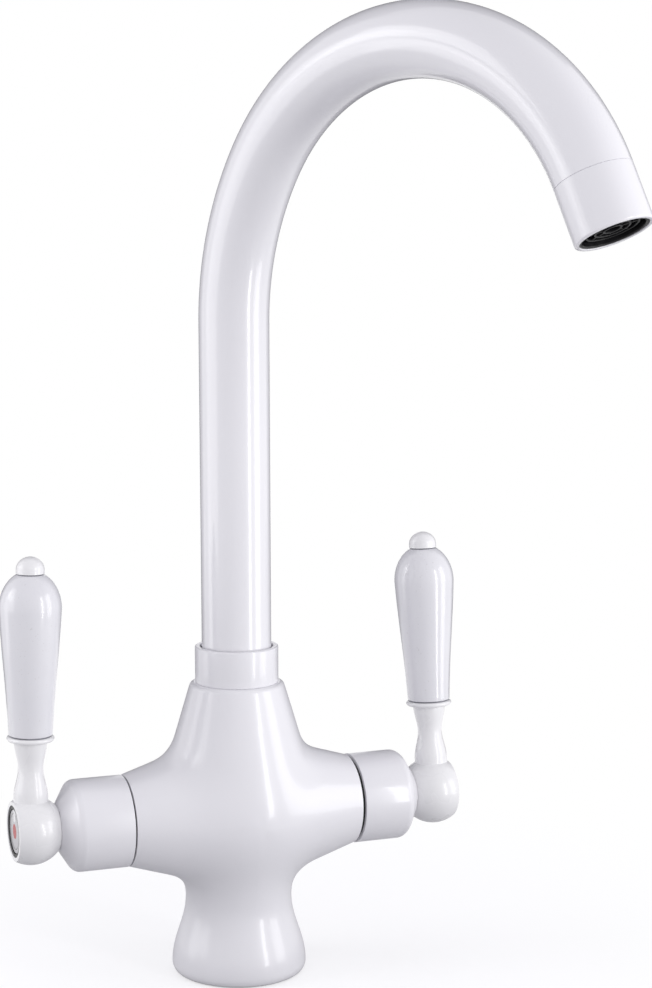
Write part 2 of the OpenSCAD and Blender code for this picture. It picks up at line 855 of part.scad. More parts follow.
module seat_seal(side) {
    color(rubber_colour)
        on_arm(side)
            translate([0, 0, socket_u])
                ring(valve_r, seat_hole_r, seat_seal_t);
}

// The two ports of a ceramic disc: a quarter turn of the spindle takes them off those below
module disc_ports() {
    for (turn = [0, 180])
        rotate([0, 0, turn])
            translate([port_place_r, 0, -over])
                cylinder(r = port_r, h = disc_t + 2 * over);
}

module fixed_disc(side) {
    color(disc_colour)
        on_arm(side)
            translate([0, 0, valve_u])
                difference() {
                    cylinder(r = disc_r, h = disc_t);
                    disc_ports();
                }
}

module turning_disc(side) {
    color(disc_colour)
        on_arm(side)
            translate([0, 0, turning_u])
                rotate([0, 0, 90])
                    difference() {
                        cylinder(r = disc_r - fit_gap, h = disc_t);
                        disc_ports();
                    }
}

module spindle(side) {
    color(brass_colour)
        on_arm(side)
            difference() {
                union() {
                    translate([0, 0, foot_u])
                        cylinder(r = disc_r - fit_gap, h = spindle_foot_t);
                    translate([0, 0, foot_u])
                        cylinder(r = spindle_r, h = spindle_end_u - foot_u);
                }
                translate([0, 0, valve_end_u + hub_gap])
                    ring(spindle_r + over, spindle_r - circlip_t, circlip_t);
                translate([0, 0, hub_u])
                    cylinder(r = screw_r + fit_gap, h = spindle_end_u - hub_u + over);
            }
}

module circlip(side) {
    color(steel_colour)
        on_arm(side)
            translate([0, 0, valve_end_u + hub_gap])
                ring(spindle_r + 2 * circlip_t, spindle_r - circlip_t, circlip_t);
}

// Outline of the turned stem and its flange, from the ball's centre upwards
stem_steps = 10;
function stem_r(v) =
    v < stem_waist_height
    ? stem_bottom_r + (stem_waist_r - stem_bottom_r) * ease((v - ball_r) / (stem_waist_height - ball_r))
    : stem_waist_r + (stem_top_r - stem_waist_r)
        * ease((v - stem_waist_height) / (stem_height - stem_waist_height));
stem_curve = concat(
    [for (i = [0 : stem_steps])
        let (v = ball_r + (stem_waist_height - ball_r) * i / stem_steps) [stem_r(v), v]],
    [for (i = [1 : stem_steps])
        let (v = stem_waist_height + (stem_height - stem_waist_height) * i / stem_steps)
            [stem_r(v), v]]
);

// Stands things on a lever's ball, with their own +Z along the lever
module on_lever(side) {
    translate([side * ball_u, 0, arm_height])
        rotate([side == hot ? hot_lean : cold_lean, 0, 0])
            rotate([0, -side * stem_tilt, 0])
                children();
}

module lever_hub(side) {
    flange_edge = arc_points(
        [flange_r - flange_t / 2, stem_height + flange_t / 2],
        flange_t / 2, -90, 90, round_steps
    );
    color(gloss_white)
    difference() {
        union() {
            intersection() {
                on_lever(side)
                    sphere(r = ball_r);
                on_arm(side)
                    translate([0, 0, hub_u])
                        cylinder(r = ball_r + over, h = face_u - hub_u);
            }
            on_lever(side)
                rotate_extrude()
                    polygon(concat(
                        [[0, 0], [stem_bottom_r, 0]],
                        stem_curve,
                        flange_edge,
                        [[0, stem_height + flange_t]]
                    ));
        }
        on_arm(side)
            translate([0, 0, hub_u - over])
                cylinder(r = spindle_r + fit_gap, h = web_u - hub_u + over);
        on_arm(side)
            translate([0, 0, web_u - over])
                cylinder(r = screw_r + fit_gap, h = head_u - web_u + 2 * over);
        on_arm(side)
            translate([0, 0, head_u])
                cylinder(r = screw_head_r + hub_gap, h = index_u - head_u + over);
        on_arm(side)
            translate([0, 0, index_u])
                cylinder(r = index_pocket_r, h = index_depth + over);
        on_lever(side)
            translate([0, 0, rod_v])
                cylinder(r = rod_r + fit_gap, h = stem_height + flange_t - rod_v + over);
    }
}

module lever_screw(side) {
    color(steel_colour)
        on_arm(side) {
            difference() {
                union() {
                    translate([0, 0, hub_u + over])
                        cylinder(r = screw_r, h = head_u - hub_u - over);
                    translate([0, 0, head_u])
                        cylinder(r = screw_head_r, h = screw_head_t);
                }
                // Hexagon socket
                translate([0, 0, head_u + screw_floor_t])
                    cylinder(r = screw_r, h = screw_head_t, $fn = 6);
            }
        }
}

module index_ring(side) {
    color(black_colour)
        on_arm(side)
            translate([0, 0, index_u])
                ring(
                    index_pocket_r - fit_gap,
                    index_pocket_r - index_ring_w,
                    index_depth - index_recess / 2
                );
}

module index_disc(side) {
    color(silver_colour)
        on_arm(side)
            translate([0, 0, index_u])
                cylinder(r = index_pocket_r - index_ring_w - fit_gap, h = index_depth - index_recess);
}

module tie_rod(side) {
    color(steel_colour)
        on_lever(side)
            translate([0, 0, rod_v])
                cylinder(r = rod_r, h = finial_v + rod_end_len - rod_v);
}

module grip_washers(side) {
    color(black_colour)
        on_lever(side) {
            translate([0, 0, stem_height + flange_t])
                ring(grip_bottom_r - grip_washer_t, rod_r + grip_washer_t, grip_washer_t);
            translate([0, 0, grip_top_v])
                ring(finial_r - grip_washer_t, rod_r + grip_washer_t, grip_washer_t);
        }
}

// Outline of the grip: a slowly swelling taper, then an elliptical dome up to the finial
taper_steps = 12;
dome_steps = 12;
dome_end_a = acos(finial_r / grip_r);
grip_curve = concat(
    [for (i = [0 : taper_steps])
        let (s = i / taper_steps)
            [grip_bottom_r + (grip_r - grip_bottom_r) * sin(90 * s) * (grip_even + (1 - grip_even) * s),
             grip_v + grip_swell_height * s]],
    [for (i = [1 : dome_steps])
        let (a = dome_end_a * i / dome_steps)
            [grip_r * cos(a), grip_v + grip_swell_height + grip_dome * sin(a)]]
);

module lever_grip(side) {
    color(ceramic_white)
        on_lever(side)
            difference() {
                rotate_extrude()
                    polygon(concat([[0, grip_v]], grip_curve, [[0, grip_top_v]]));
                translate([0, 0, grip_v - over])
                    cylinder(r = rod_r + grip_washer_t, h = grip_top_v - grip_v + 2 * over);
            }
}

module finial(side) {
    dome = finial_len - finial_side;
    curve = [for (i = [0 : dome_steps])
        [finial_r * cos(90 * i / dome_steps), finial_side + dome * sin(90 * i / dome_steps)]];
    color(gloss_white)
        on_lever(side)
            translate([0, 0, finial_v])
                difference() {
                    rotate_extrude()
                        polygon(concat([[0, 0], [finial_r, 0]], curve));
                    translate([0, 0, -over])
                        cylinder(r = rod_r + fit_gap, h = rod_end_len + over);
                }
}

body_casting();
base_seal();
spout_collar();
swivel_washer();
spout_tube();
spout_spigot();
spigot_o_rings();
nozzle();
aerator_cage();
aerator_screen();
aerator_seal();
cover_ring(hot);  // hot_cover_ring
valve_cover(hot);  // hot_valve_cover
valve_body(hot);  // hot_valve_body
seat_seal(hot);  // hot_seat_seal
fixed_disc(hot);  // hot_fixed_disc
turning_disc(hot);  // hot_turning_disc
spindle(hot);  // hot_spindle
circlip(hot);  // hot_circlip
lever_hub(hot);  // hot_lever_hub
lever_screw(hot);  // hot_lever_screw
index_ring(hot);  // hot_index_ring
index_disc(hot);  // hot_index_disc
tie_rod(hot);  // hot_tie_rod
grip_washers(hot);  // hot_grip_washers
lever_grip(hot);  // hot_lever_grip
finial(hot);  // hot_finial
cover_ring(cold);  // cold_cover_ring
valve_cover(cold);  // cold_valve_cover
valve_body(cold);  // cold_valve_body
seat_seal(cold);  // cold_seat_seal
fixed_disc(cold);  // cold_fixed_disc
turning_disc(cold);  // cold_turning_disc
spindle(cold);  // cold_spindle
circlip(cold);  // cold_circlip
lever_hub(cold);  // cold_lever_hub
lever_screw(cold);  // cold_lever_screw
index_ring(cold);  // cold_index_ring
index_disc(cold);  // cold_index_disc
tie_rod(cold);  // cold_tie_rod
grip_washers(cold);  // cold_grip_washers
lever_grip(cold);  // cold_lever_grip
finial(cold);  // cold_finial
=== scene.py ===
# %% [markdown]
# # A white kitchen mixer tap
# This lesson dresses a kitchen tap for a studio picture. The tap already exists as a CAD frame:
# every piece has its real size and place, and the spout and both levers turn. What the frame lacks
# is the finish, and curves fine enough for gloss paint, so each piece that shows is made again in
# Blender. Blender works in metres. The drawings of a tap are in millimetres, so sizes are written
# with `mm`.

# %% Load the frame
import json
import math

import bmesh
import bpy
from mathutils import Matrix, Vector


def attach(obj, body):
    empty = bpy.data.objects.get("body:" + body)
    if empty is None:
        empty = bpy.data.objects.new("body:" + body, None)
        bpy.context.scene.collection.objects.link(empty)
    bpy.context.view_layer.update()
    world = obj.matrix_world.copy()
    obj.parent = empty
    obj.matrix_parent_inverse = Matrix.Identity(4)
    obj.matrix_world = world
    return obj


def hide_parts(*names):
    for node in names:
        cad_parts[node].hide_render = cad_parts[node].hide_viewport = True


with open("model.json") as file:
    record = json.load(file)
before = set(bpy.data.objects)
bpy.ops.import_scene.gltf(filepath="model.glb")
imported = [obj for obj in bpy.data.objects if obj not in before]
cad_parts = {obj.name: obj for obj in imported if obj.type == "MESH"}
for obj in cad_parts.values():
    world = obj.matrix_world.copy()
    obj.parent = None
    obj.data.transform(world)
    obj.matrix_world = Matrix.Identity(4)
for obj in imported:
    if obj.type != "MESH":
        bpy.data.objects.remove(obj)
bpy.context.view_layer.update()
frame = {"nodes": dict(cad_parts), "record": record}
scene = bpy.context.scene
mm = 0.001

# %% [markdown]
# ## The camera
# A product picture is taken with a long lens, so that the arms and the spout keep their shapes. The
# camera stands a little to the hot side and looks slightly down. It could be turned to put the tap
# in its place in the picture, but then the riser would lean. The lens shift moves the tap without
# turning the camera, as a view camera does. The picture is 652 by 988 pixels, and Blender measures
# the lens against its longer side.

# %% Camera
camera_place = Vector((-275.9, -807.2, 302.3)) * mm
camera_turn, camera_tilt, camera_roll = -19.13, 82.41, -0.44
camera_data = bpy.data.cameras.new("studio_camera")
camera_data.sensor_width = 36
camera_data.lens = 78.48
camera_data.shift_x = 0.0819
camera_data.shift_y = 0.018
camera = bpy.data.objects.new("studio_camera", camera_data)
scene.collection.objects.link(camera)
scene.camera = camera
camera.matrix_world = (
    Matrix.Translation(camera_place)
    @ Matrix.Rotation(math.radians(camera_turn), 4, "Z")
    @ Matrix.Rotation(math.radians(camera_tilt), 4, "X")
    @ Matrix.Rotation(math.radians(camera_roll), 4, "Z")
)
print("camera to tap in mm:", round(camera.matrix_world.translation.length / mm))

# %% [markdown]
# ## The sizes that several steps share
# These are in millimetres, the same as in the tap's CAD drawing. Pieces that meet take their places
# from the same numbers, so a changed size moves everything that touches it. Sizes that one step
# alone brings in are given there. The arms run along X, with the hot side at its lower end.

# %% Shared sizes
hot, cold = -1, 1
sides = ((hot, "hot"), (cold, "cold"))
arm_height = 66.6
tube_r = 14.0
ball_x, ball_r = 86.3, 13.7
face_x = 93.3
print("outer face of a lever hub at", face_x, "mm from the middle")

# %% [markdown]
# ## Writing finishes as sums
# A finish is a small network of nodes. Drawing its wires by hand is slow to read, so two classes
# turn them into plain Python. `Wire` stands for one output of a node, and adding, subtracting or
# multiplying wires adds the Math node for it. `Finish` is the recipe of one material, or of the
# world round the tap. Its `node` method adds any node: its settings first, then the values or wires
# of its sockets.

# %% Wires and finishes
class Wire:
    """One output of a node in a finish, with the sums that the recipes use."""

    def __init__(self, finish, socket):
        self.finish = finish
        self.socket = socket

    def __add__(self, other):
        return self.finish.maths("ADD", self, other)

    def __sub__(self, other):
        return self.finish.maths("SUBTRACT", self, other)

    def __rsub__(self, other):
        return self.finish.maths("SUBTRACT", other, self)

    def __mul__(self, other):
        return self.finish.maths("MULTIPLY", self, other)

    __radd__ = __add__
    __rmul__ = __mul__


class Finish:
    """The nodes of one material or world, with patterns on the piece's own coordinates."""

    def __init__(self, owner):
        self.owner = owner
        owner.use_nodes = True
        self.tree = owner.node_tree
        self.tree.nodes.clear()
        self.place = self.node("ShaderNodeTexCoord", output="Object")

    def node(self, kind, settings=None, sockets=None, output=0):
        new = self.tree.nodes.new(kind)
        for name, value in (settings or {}).items():
            setattr(new, name, value)
        for name, value in (sockets or {}).items():
            if isinstance(value, Wire):
                self.tree.links.new(value.socket, new.inputs[name])
            else:
                new.inputs[name].default_value = value
        return Wire(self, new.outputs[output]) if new.outputs else None

    def maths(self, operation, *values):
        return self.node("ShaderNodeMath", {"operation": operation}, dict(enumerate(values)))

    def noise(self, scale, detail=2):
        sockets = {"Vector": self.place, "Scale": scale, "Detail": detail}
        return self.node("ShaderNodeTexNoise", {}, sockets)

    def band(self, value, low, high):
        """0 below low, 1 above high, and a smooth step between."""
        settings = {"interpolation_type": "SMOOTHSTEP"}
        sockets = {"Value": value, "From Min": low, "From Max": high}
        return self.node("ShaderNodeMapRange", settings, sockets)

    def mix(self, share, first, second):
        """A colour between two, by share. The Mix node's colour sockets are numbers 6 and 7."""
        settings = {"data_type": "RGBA"}
        return self.node("ShaderNodeMix", settings, {0: share, 6: first, 7: second}, output=2)

    def from_axis(self, flat, centre=(0, 0, 0)):
        """The distance from an axis through centre. flat is 0 along the axis and 1 across it."""
        sockets = {"Vector": self.place, "Location": [-c for c in centre]}
        moved = self.node("ShaderNodeMapping", {}, sockets)
        across = self.node("ShaderNodeVectorMath", {"operation": "MULTIPLY"}, {0: moved, 1: flat})
        return self.node("ShaderNodeVectorMath", {"operation": "LENGTH"}, {0: across}, output=1)

    def bump(self, height, depth, strength):
        sockets = {"Height": height, "Distance": depth, "Strength": strength}
        return self.node("ShaderNodeBump", {}, sockets)

    def surface(self, **sockets):
        """Ends the finish in a Principled shader. Socket names are written with _ for a space."""
        values = {name.replace("_", " "): value for name, value in sockets.items()}
        shader = self.node("ShaderNodeBsdfPrincipled", {}, values)
        self.node("ShaderNodeOutputMaterial", {}, {"Surface": shader})
        return self.owner

    def seen(self):
        """1 for rays from the camera and for what gloss and glass show of the surroundings."""
        camera_ray, glossy_ray, through_ray = (
            self.node("ShaderNodeLightPath", output=name)
            for name in ("Is Camera Ray", "Is Glossy Ray", "Is Transmission Ray")
        )
        return self.maths("MAXIMUM", self.maths("MAXIMUM", camera_ray, glossy_ray), through_ray)


def colour(red, green, blue):
    return (red, green, blue, 1.0)


trial = Finish(bpy.data.materials.new("trial"))
trial_sum = trial.noise(10) + 2 * trial.noise(20)
print("a sum of two noises ends in", trial_sum.socket.node.name, "after", len(trial.tree.nodes) - 1)
bpy.data.materials.remove(trial.owner)

# %% [markdown]
# ## White enamel
# The body, spout, covers and levers are enamelled brass. Sprayed enamel is not a perfect mirror: it
# settles into a faint orange peel with hills about two millimetres apart, and its white drifts very
# slightly. Both come from noise on the piece's own coordinates, so they stay put as the tap moves.
# A picture of enamel could be wrapped round the tap instead, but it would need unwrapped pieces.
# One function mixes three enamels: the body's, a glossier one for the long tube, and a paler one
# for the levers, which are sprayed apart.

# %% Enamel
def gloss_enamel(name, pale, deep, rough, coat):
    finish = Finish(bpy.data.materials.new(name))
    drift = finish.band(finish.noise(22, detail=3), 0.35, 0.65)
    peel = finish.noise(420, detail=1)
    grain = finish.noise(2600)
    return finish.surface(
        Base_Color=finish.mix(drift, deep, pale),
        Roughness=finish.band(finish.noise(60), 0.2, 0.8) * 0.03 + rough,
        Normal=finish.bump(peel + grain * 0.04, 0.02 * mm, 0.15),
        Coat_Weight=coat,
        Coat_Roughness=0.08,
        IOR=1.5,
    )


body_pale, body_deep = colour(0.806, 0.8, 0.828), colour(0.801, 0.795, 0.824)
lever_pale, lever_deep = colour(0.838, 0.835, 0.842), colour(0.832, 0.829, 0.837)
enamel = gloss_enamel("white_enamel", body_pale, body_deep, 0.28, 0.35)
spout_enamel = gloss_enamel("spout_enamel", body_pale, body_deep, 0.24, 0.55)
lever_enamel = gloss_enamel("lever_enamel", lever_pale, lever_deep, 0.26, 0.3)
print("nodes in one enamel:", len(enamel.node_tree.nodes))

# %% [markdown]
# ## Glazed ceramic
# The grips are porcelain. Glaze is a clear skin over a slightly greyer body, so the shader gets a
# coat, and the body's colour varies in soft clouds with a few fine specks of iron, as fired clay
# has. A plain white would do from afar, but would look like plastic close by.

# %% Glaze
def grip_glaze():
    finish = Finish(bpy.data.materials.new("grip_glaze"))
    cloud = finish.band(finish.noise(45, detail=4), 0.3, 0.7)
    body = finish.mix(cloud, colour(0.735, 0.732, 0.765), colour(0.755, 0.752, 0.782))
    specks = finish.band(finish.noise(1500, detail=0), 0.775, 0.80)
    return finish.surface(
        Base_Color=finish.mix(specks * 0.25, body, colour(0.45, 0.43, 0.42)),
        Roughness=0.2 + cloud * 0.05,
        Normal=finish.bump(finish.noise(260), 0.02 * mm, 0.4),
        Coat_Weight=0.35,
        Coat_Roughness=0.05,
        IOR=1.52,
    )


glaze = grip_glaze()
print(glaze.name, "has", len(glaze.node_tree.nodes), "nodes")

# %% [markdown]
# ## The small finishes
# Rubber is nearly black and dull, with a fine leathery bump. The aerator is a moulded black plastic
# with a gloss, and its dark colour is broken by faint flow marks. Nylon and the lapped ceramic
# discs hide inside, yet they get the same care, because the levers and the spout can be taken off.

# %% Rubber, plastics and disc ceramic
def soft_black(name, tone, rough, bumps):
    finish = Finish(bpy.data.materials.new(name))
    cloud = finish.band(finish.noise(160, detail=4), 0.3, 0.7)
    lighter = [value * 1.5 + 0.002 for value in tone]
    return finish.surface(
        Base_Color=finish.mix(cloud, colour(*tone), colour(*lighter)),
        Roughness=cloud * 0.08 + rough,
        Normal=finish.bump(finish.noise(bumps, detail=3), 0.03 * mm, 0.5),
        Specular_IOR_Level=0.25,
    )


def plain_white(name, tone, rough):
    finish = Finish(bpy.data.materials.new(name))
    cloud = finish.band(finish.noise(120, detail=3), 0.35, 0.65)
    darker = [value * 0.93 for value in tone]
    return finish.surface(
        Base_Color=finish.mix(cloud, colour(*tone), colour(*darker)),
        Roughness=cloud * 0.06 + rough,
        Normal=finish.bump(finish.noise(1200), 0.01 * mm, 0.3),
    )


rubber = soft_black("seal_rubber", (0.012, 0.012, 0.014), 0.55, 2400)
aerator_black = soft_black("aerator_plastic", (0.003, 0.003, 0.004), 0.3, 900)
gasket_black = soft_black("gasket_plastic", (0.16, 0.16, 0.18), 0.4, 1600)
nylon = plain_white("washer_nylon", (0.70, 0.68, 0.60), 0.45)
disc_ceramic = plain_white("disc_ceramic", (0.80, 0.79, 0.75), 0.25)
print("blacks:", rubber.name, aerator_black.name, gasket_black.name)
print("whites:", nylon.name, disc_ceramic.name)

# %% [markdown]
# ## Turned metal
# Brass valve parts and steel screws come off a lathe, which leaves fine rings round the turning
# axis. The rings are a sine of the distance from that axis, here the middle line of the arms. The
# distance comes from Vector Math, and a Mapping node first moves that line to the zero point.

# %% Metals
across_arms = (0, 1, 1)
ring_pitch = 0.25 * mm


def turned_metal(name, tone, rough):
    finish = Finish(bpy.data.materials.new(name))
    radius = finish.from_axis(across_arms, (0, 0, arm_height * mm))
    rings = finish.maths("SINE", radius * (math.tau / ring_pitch))
    wander = finish.noise(500, detail=3)
    darker = [value * 0.82 for value in tone]
    return finish.surface(
        Base_Color=finish.mix(finish.band(wander, 0.3, 0.7), colour(*darker), colour(*tone)),
        Metallic=1.0,
        Roughness=wander * 0.12 + rough,
        Normal=finish.bump(rings * 0.5 + wander, 0.006 * mm, 0.6),
    )


brass = turned_metal("turned_brass", (0.72, 0.50, 0.22), 0.22)
steel = turned_metal("turned_steel", (0.60, 0.60, 0.62), 0.25)
print("metals:", brass.name, steel.name)

# %% [markdown]
# ## Dressing the hidden pieces
# The pieces inside the tap keep their CAD meshes, whose curves are fine enough where no gloss paint
# shows them. Each only swaps the flat colour in its material slot for the matching finish.

# %% Finishes for the frame's own pieces
finish_of_slot = {
    "gloss_white": enamel,
    "grip_ceramic": glaze,
    "brass": brass,
    "steel": steel,
    "index_silver": steel,
    "black_plastic": aerator_black,
    "nylon": nylon,
    "disc_ceramic": disc_ceramic,
    "rubber": rubber,
}
slot_of_node = {part["node"]: part["material_slot"] for part in frame["record"]["subparts"]}
for node, piece in frame["nodes"].items():
    piece.data.materials.clear()
    piece.data.materials.append(finish_of_slot[slot_of_node[node]])
print("dressed", len(frame["nodes"]), "CAD pieces")

# %% [markdown]
# ## A lathe in a few lines
# Nearly every piece of this tap is turned, so it is one outline spun about an axis. `spun_outline`
# starts from the few corner points of an outline, in millimetres from the axis and along it. Some
# corners ask for a rounding: each is beveled by its vertex before the spin, so one number sets how
# soft it is. After the spin the doubles on the axis are merged and the faces are turned outwards.

# %% The lathe
def spun_outline(outline, rounds, closed, turns):
    """A bmesh turned about Z from (distance from the axis, height) corners in millimetres."""
    bm = bmesh.new()
    corners = [bm.verts.new((r * mm, 0, z * mm)) for r, z in outline]
    for a, b in zip(corners, corners[1:] + corners[:1] if closed else corners[1:]):
        bm.edges.new((a, b))
    for number, size in rounds.items():
        bmesh.ops.bevel(
            bm, geom=[corners[number]], offset=size * mm, offset_type="OFFSET", segments=6,
            profile=0.5, material=-1, affect="VERTICES",
        )
    bmesh.ops.spin(
        bm, geom=bm.verts[:] + bm.edges[:], cent=(0, 0, 0), axis=(0, 0, 1),
        angle=math.tau, steps=turns, use_merge=True,
    )
    bmesh.ops.remove_doubles(bm, verts=bm.verts, dist=1e-7)
    bmesh.ops.recalc_face_normals(bm, faces=bm.faces)
    return bm


trial = spun_outline([(0, 0), (5, 0), (5, 8), (0, 8)], {2: 1.0}, False, 24)
print("a trial pin with one soft rim has", len(trial.faces), "faces")
trial.free()

# %% [markdown]
# ## Placing and finishing a piece
# A mesh is turned standing on the origin, then moved to its place on the tap by a matrix, so the
# object itself stays at the origin. Curved faces are shaded smooth, and edges sharper than 40
# degrees stay crisp. Each piece rides on its CAD body, and hides the CAD piece that it stands for.

# %% Placing pieces
upright = Matrix.Identity(4)


def placed_object(name, bm, place):
    bm.transform(place)
    mesh = bpy.data.meshes.new(name)
    bm.to_mesh(mesh)
    bm.free()
    piece = bpy.data.objects.new(name, mesh)
    scene.collection.objects.link(piece)
    return piece


def finished(name, bm, place, material, body, nodes, sharp=40):
    piece = placed_object(name, bm, place)
    piece.data.shade_smooth()
    piece.data.set_sharp_from_angle(angle=math.radians(sharp))
    piece.data.materials.append(material)
    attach(piece, body)
    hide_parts(*nodes)
    print(name, len(piece.data.polygons), "faces")
    return piece


# %% [markdown]
# ## The spout collar
# The collar is a ring nut. Its thread sits in the neck, and its mouth leaves a fine gap round the
# tube. It could be a cylinder with a hole cut through it, but one closed outline spun once gives
# both walls, the step and the softened rim together.

# %% Spout collar
neck_height, neck_pocket_r = 119.8, 16.05
collar_r, collar_low, collar_top = 16.8, neck_height - 8.0, 134.5
foot_r, thread_r, mouth_r = tube_r + 0.05, neck_pocket_r - 0.05, tube_r + 0.7
collar_outline = [
    (foot_r, collar_low), (thread_r, collar_low), (thread_r, neck_height), (collar_r, neck_height),
    (collar_r, collar_top), (mouth_r, collar_top), (mouth_r, neck_height),
]
collar_rounds = {3: 0.3, 4: 0.6, 5: 0.35}
finished(
    "collar_ring", spun_outline(collar_outline, collar_rounds, True, 128), upright, enamel,
    "tap_body", ["spout_collar"],
)

# %% [markdown]
# ## The swan neck
# A bender makes a swan neck from straight tube in stages: straight riser, a gentle sweep, then the
# main bend. The mesh is made the same way. A circle is extruded up the riser, spun about the
# sweep's centre and spun again about the bend's centre. The bmesh operator `solidify` then gives it
# a wall, inwards so that the outside keeps its size. A Solidify modifier would leave the end rims
# soft, and soft rims bend the shading of the whole straight riser. A curve with a round bevel would
# do as well, but its bends would only come near to true arcs.

# %% Swan neck
tube_start, tube_wall = 111.1, 1.5
sweep_height, sweep_r, sweep = 264.0, 118.0, math.radians(32.5)
bend_r, bend = 87.5, math.radians(155.0)
rest_angle = 26.1
spout_turn = Matrix.Rotation(math.radians(rest_angle - 90), 4, "Z")


def outward(turned):
    """The way from a bend's centre to the tube, where the tube has turned by an angle."""
    return Vector((-math.cos(turned), 0, math.sin(turned)))


def only(kind, geometry):
    return [item for item in geometry if isinstance(item, kind)]


def swan_neck():
    bm = bmesh.new()
    start = Matrix.Translation((0, 0, tube_start * mm))
    bmesh.ops.create_circle(bm, radius=tube_r * mm, segments=96, matrix=start)
    riser = bmesh.ops.extrude_edge_only(bm, edges=bm.edges[:])["geom"]
    top = only(bmesh.types.BMVert, riser)
    bmesh.ops.translate(bm, verts=top, vec=(0, 0, (sweep_height - tube_start) * mm))
    rim = [e for e in only(bmesh.types.BMEdge, riser) if all(v in top for v in e.verts)]
    last = top + rim
    for centre, turn, steps in ((sweep_centre, sweep, 26), (bend_centre, bend - sweep, 96)):
        last = bmesh.ops.spin(
            bm, geom=last, cent=centre, axis=(0, 1, 0), angle=turn, steps=steps
        )["geom_last"]
    bmesh.ops.recalc_face_normals(bm, faces=bm.faces)
    bmesh.ops.solidify(bm, geom=bm.faces[:], thickness=tube_wall * mm)
    bmesh.ops.recalc_face_normals(bm, faces=bm.faces)
    print("open edges in the tube:", sum(1 for edge in bm.edges if edge.is_boundary))
    return bm


sweep_centre = Vector((sweep_r, 0, sweep_height)) * mm
bend_centre = sweep_centre + (sweep_r - bend_r) * mm * outward(sweep)
neck_piece = finished(
    "swan_neck", swan_neck(), spout_turn, spout_enamel, "spout", ["spout_tube"]
)
low_corners = [v.co for v in neck_piece.data.vertices if v.co.z < (tube_start + 1) * mm]
widths = sorted({round(2 * math.hypot(co.x, co.y) / mm, 2) for co in low_corners})
print("bore and width of the riser in mm:", widths[0], widths[-1])

# %% [markdown]
# ## The nozzle
# The nozzle plugs into the tube's end with a fine V-shaped seam, and its lip is rolled over. It is
# turned upright like the others, then laid at the end of the bend, pointing along the flow.

# %% Nozzle
nozzle_len, nozzle_bore_r = 21.2, 12.4
plug_len, plug_bore_r, plug_tip_r, plug_root_r = 8.0, 9.5, 12.08, 12.4
seam_depth, aerator_seat = 0.25, 6.2
bend_end = bend_centre + bend_r * mm * outward(bend)
at_nozzle = spout_turn @ Matrix.Translation(bend_end) @ Matrix.Rotation(bend, 4, "Y")
nozzle_outline = [
    (plug_bore_r, -plug_len), (plug_tip_r, -plug_len), (plug_root_r, 0), (tube_r - seam_depth, 0),
    (tube_r, seam_depth), (tube_r, nozzle_len), (nozzle_bore_r, nozzle_len),
    (nozzle_bore_r, aerator_seat), (plug_bore_r, aerator_seat),
]
finished(
    "nozzle_sleeve", spun_outline(nozzle_outline, {5: 0.8, 6: 0.3}, True, 128), at_nozzle, enamel,
    "spout", ["nozzle"],
)

# %% [markdown]
# ## The aerator
# The aerator mixes air into the water. Its face is a black cage: three rounded rings tied by
# spokes, sunk inside a thin rim that ends just below the nozzle's lip. Each ring is turned from an
# outline. One spoke is a stretched cube with its upper edges rounded. Each spoke could be placed by
# itself, but the spin operator copies the first one round the axis and keeps them all alike.

# %% Aerator
rim_r, rim_open_r, rim_low, rim_top = 12.35, 11.2, 8.6, nozzle_len - 0.35
ring_places, ring_half = (3.1, 6.2, 9.3), 0.42
ring_low, ring_top = nozzle_len - 3.6, nozzle_len - 1.7
spoke_count, spoke_width, spoke_height = 8, 0.8, 1.5


def add_part(bm, part):
    """Adds the faces of another bmesh, which a bmesh takes in only by way of a mesh."""
    mesh = bpy.data.meshes.new("part_being_added")
    part.to_mesh(mesh)
    part.free()
    bm.from_mesh(mesh)
    bpy.data.meshes.remove(mesh)


def ring_of_spokes():
    bm = bmesh.new()
    length = rim_open_r - ring_places[0]
    middle = Vector((ring_places[0] + length / 2, 0, ring_low + spoke_height / 2)) * mm
    bmesh.ops.create_cube(bm, size=1)
    bmesh.ops.scale(bm, verts=bm.verts, vec=Vector((length, spoke_width, spoke_height)) * mm)
    bmesh.ops.translate(bm, verts=bm.verts, vec=middle)
    upper = [e for e in bm.edges if all(v.co.z > middle.z for v in e.verts)]
    bmesh.ops.bevel(
        bm, geom=upper, offset=0.25 * mm, segments=3, profile=0.5, material=-1, affect="EDGES"
    )
    copies = spoke_count - 1
    bmesh.ops.spin(
        bm, geom=bm.verts[:] + bm.edges[:] + bm.faces[:], cent=(0, 0, 0), axis=(0, 0, 1),
        angle=math.tau * copies / spoke_count, steps=copies, use_duplicate=True,
    )
    return bm


def aerator_cage():
    bm = bmesh.new()
    rim = [(rim_open_r, rim_low), (rim_r, rim_low), (rim_r, rim_top), (rim_open_r, rim_top)]
    add_part(bm, spun_outline(rim, {2: 0.1, 3: 0.5}, True, 128))
    for place in ring_places:
        inner, outer = place - ring_half, place + ring_half
        ring = [(inner, ring_low), (outer, ring_low), (outer, ring_top), (inner, ring_top)]
        add_part(bm, spun_outline(ring, {2: 0.3, 3: 0.3}, True, 96))
    add_part(bm, ring_of_spokes())
    return bm


finished(
    "aerator_face", aerator_cage(), at_nozzle, aerator_black, "spout", ["aerator_cage"],
)

# %% [markdown]
# ## Arms and their covers
# Each arm ends in a valve. A plain cover hides it, and a black ring shows in the gap between cover
# and arm. These are turned standing up too, then laid along the arm. The matrix for the hot side
# turns the other way, so the two sides mirror each other without a mirrored mesh.

